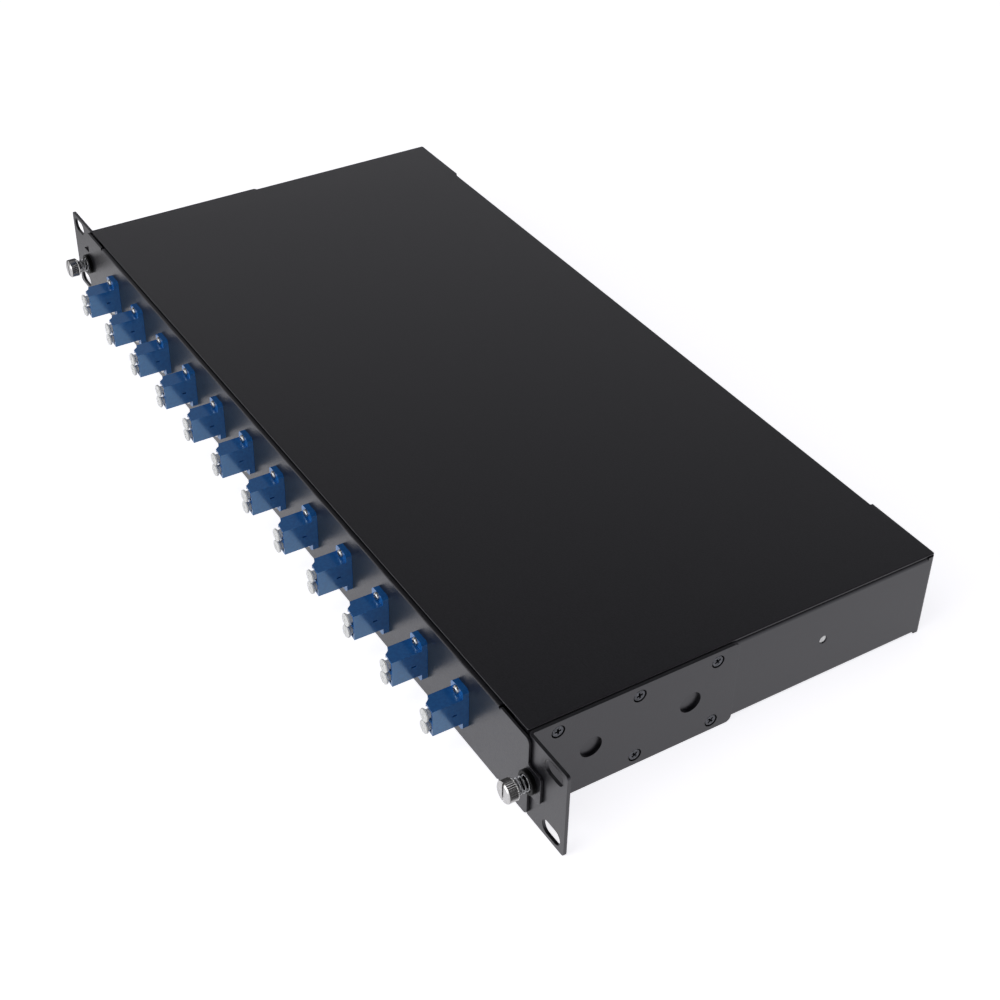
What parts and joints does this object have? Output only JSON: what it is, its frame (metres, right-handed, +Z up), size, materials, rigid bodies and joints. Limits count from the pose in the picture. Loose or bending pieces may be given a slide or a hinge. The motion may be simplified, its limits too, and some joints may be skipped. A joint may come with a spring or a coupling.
{
  "type": "fibre patch panel",
  "caption": "Sliding rack-mount fibre patch panel with capped duplex adapters in a drawer front, two captive thumbscrews and slotted ears.",
  "frame": {"origin": "middle of the four rack slots, in the rear face of the rack ears, which meets the rack rails", "axes": "+X to the right seen from the front, +Y to the rear, +Z up"},
  "size_m": [0.4826, 0.2238, 0.0429],
  "materials": {
    "powder_coat": "fine-textured dark grey powder coat",
    "dark_rivet": "painted over",
    "rubber": "matt black rubber",
    "black_screw": "black zinc, satin",
    "zinc": "zinc plated",
    "bright_steel": "bright plated",
    "spring_steel": "bright drawn wire",
    "nickel": "nickel plated",
    "black_collar": "satin black",
    "adapter_blue": "moulded, slightly glossy",
    "cap_white": "soft translucent moulding",
    "ceramic": "ground zirconia ceramic",
    "tray_plastic": "moulded"
  },
  "bodies": {
    "enclosure": {"chassis": "powder_coat", "top_cover": "powder_coat", "rear_rivets": "dark_rivet", "cable_grommets": "rubber", "rack_bracket_left": "powder_coat", "rack_bracket_right": "powder_coat", "bracket_screws": "black_screw", "ear_nuts": "zinc", "runner_outer_left": "zinc", "runner_outer_right": "zinc", "runner_outer_rivets": "bright_steel"},
    "drawer": {"fascia": "powder_coat", "fascia_rivets": "bright_steel", "tray": "powder_coat", "runner_inner_left": "zinc", "runner_inner_right": "zinc", "runner_inner_rivets": "bright_steel", "adapter_01": "adapter_blue", "adapter_02": "adapter_blue", "adapter_03": "adapter_blue", "adapter_04": "adapter_blue", "adapter_05": "adapter_blue", "adapter_06": "adapter_blue", "adapter_07": "adapter_blue", "adapter_08": "adapter_blue", "adapter_09": "adapter_blue", "adapter_10": "adapter_blue", "adapter_11": "adapter_blue", "adapter_12": "adapter_blue", "alignment_sleeves": "ceramic", "adapter_screws": "bright_steel", "thumbscrew_collars": "black_collar", "splice_holder_left": "tray_plastic", "splice_holder_right": "tray_plastic", "fibre_guides": "tray_plastic"},
    "spring_left": {"thumbscrew_spring_left": "spring_steel"},
    "screw_left": {"thumbscrew_left": "nickel"},
    "spring_right": {"thumbscrew_spring_right": "spring_steel"},
    "screw_right": {"thumbscrew_right": "nickel"},
    "cap_pair_01": {"dust_caps_01": "cap_white"},
    "cap_pair_02": {"dust_caps_02": "cap_white"},
    "cap_pair_03": {"dust_caps_03": "cap_white"},
    "cap_pair_04": {"dust_caps_04": "cap_white"},
    "cap_pair_05": {"dust_caps_05": "cap_white"},
    "cap_pair_06": {"dust_caps_06": "cap_white"},
    "cap_pair_07": {"dust_caps_07": "cap_white"},
    "cap_pair_08": {"dust_caps_08": "cap_white"},
    "cap_pair_09": {"dust_caps_09": "cap_white"},
    "cap_pair_10": {"dust_caps_10": "cap_white"},
    "cap_pair_11": {"dust_caps_11": "cap_white"},
    "cap_pair_12": {"dust_caps_12": "cap_white"}
  },
  "joints": [
    {"name": "drawer_slide", "type": "slide", "parent": "enclosure", "child": "drawer", "axis": [0, -1, 0], "range_m": [0, 0.15]},
    {"name": "thumbscrew_left_travel", "type": "slide", "parent": "drawer", "child": "spring_left", "axis": [0, -1, 0], "range_m": [0, 0.0028]},
    {"name": "thumbscrew_left_turn", "type": "hinge", "parent": "spring_left", "child": "screw_left", "pos_m": [-0.2192, -0.0123, 0.0004], "axis": [0, -1, 0], "range_deg": [0, 1445]},
    {"name": "thumbscrew_right_travel", "type": "slide", "parent": "drawer", "child": "spring_right", "axis": [0, -1, 0], "range_m": [0, 0.0028]},
    {"name": "thumbscrew_right_turn", "type": "hinge", "parent": "spring_right", "child": "screw_right", "pos_m": [0.2192, -0.0123, 0.0004], "axis": [0, -1, 0], "range_deg": [0, 1445]},
    {"name": "dust_caps_01_pull", "type": "slide", "parent": "drawer", "child": "cap_pair_01", "axis": [0, -1, 0], "range_m": [0, 0.012]},
    {"name": "dust_caps_02_pull", "type": "slide", "parent": "drawer", "child": "cap_pair_02", "axis": [0, -1, 0], "range_m": [0, 0.012]},
    {"name": "dust_caps_03_pull", "type": "slide", "parent": "drawer", "child": "cap_pair_03", "axis": [0, -1, 0], "range_m": [0, 0.012]},
    {"name": "dust_caps_04_pull", "type": "slide", "parent": "drawer", "child": "cap_pair_04", "axis": [0, -1, 0], "range_m": [0, 0.012]},
    {"name": "dust_caps_05_pull", "type": "slide", "parent": "drawer", "child": "cap_pair_05", "axis": [0, -1, 0], "range_m": [0, 0.012]},
    {"name": "dust_caps_06_pull", "type": "slide", "parent": "drawer", "child": "cap_pair_06", "axis": [0, -1, 0], "range_m": [0, 0.012]},
    {"name": "dust_caps_07_pull", "type": "slide", "parent": "drawer", "child": "cap_pair_07", "axis": [0, -1, 0], "range_m": [0, 0.012]},
    {"name": "dust_caps_08_pull", "type": "slide", "parent": "drawer", "child": "cap_pair_08", "axis": [0, -1, 0], "range_m": [0, 0.012]},
    {"name": "dust_caps_09_pull", "type": "slide", "parent": "drawer", "child": "cap_pair_09", "axis": [0, -1, 0], "range_m": [0, 0.012]},
    {"name": "dust_caps_10_pull", "type": "slide", "parent": "drawer", "child": "cap_pair_10", "axis": [0, -1, 0], "range_m": [0, 0.012]},
    {"name": "dust_caps_11_pull", "type": "slide", "parent": "drawer", "child": "cap_pair_11", "axis": [0, -1, 0], "range_m": [0, 0.012]},
    {"name": "dust_caps_12_pull", "type": "slide", "parent": "drawer", "child": "cap_pair_12", "axis": [0, -1, 0], "range_m": [0, 0.012]}
  ],
  "couplings": [
    {"joint": "thumbscrew_left_turn", "follows": "thumbscrew_left_travel", "rad_per_m": 8976},
    {"joint": "thumbscrew_right_turn", "follows": "thumbscrew_right_travel", "rad_per_m": 8976}
  ]
}
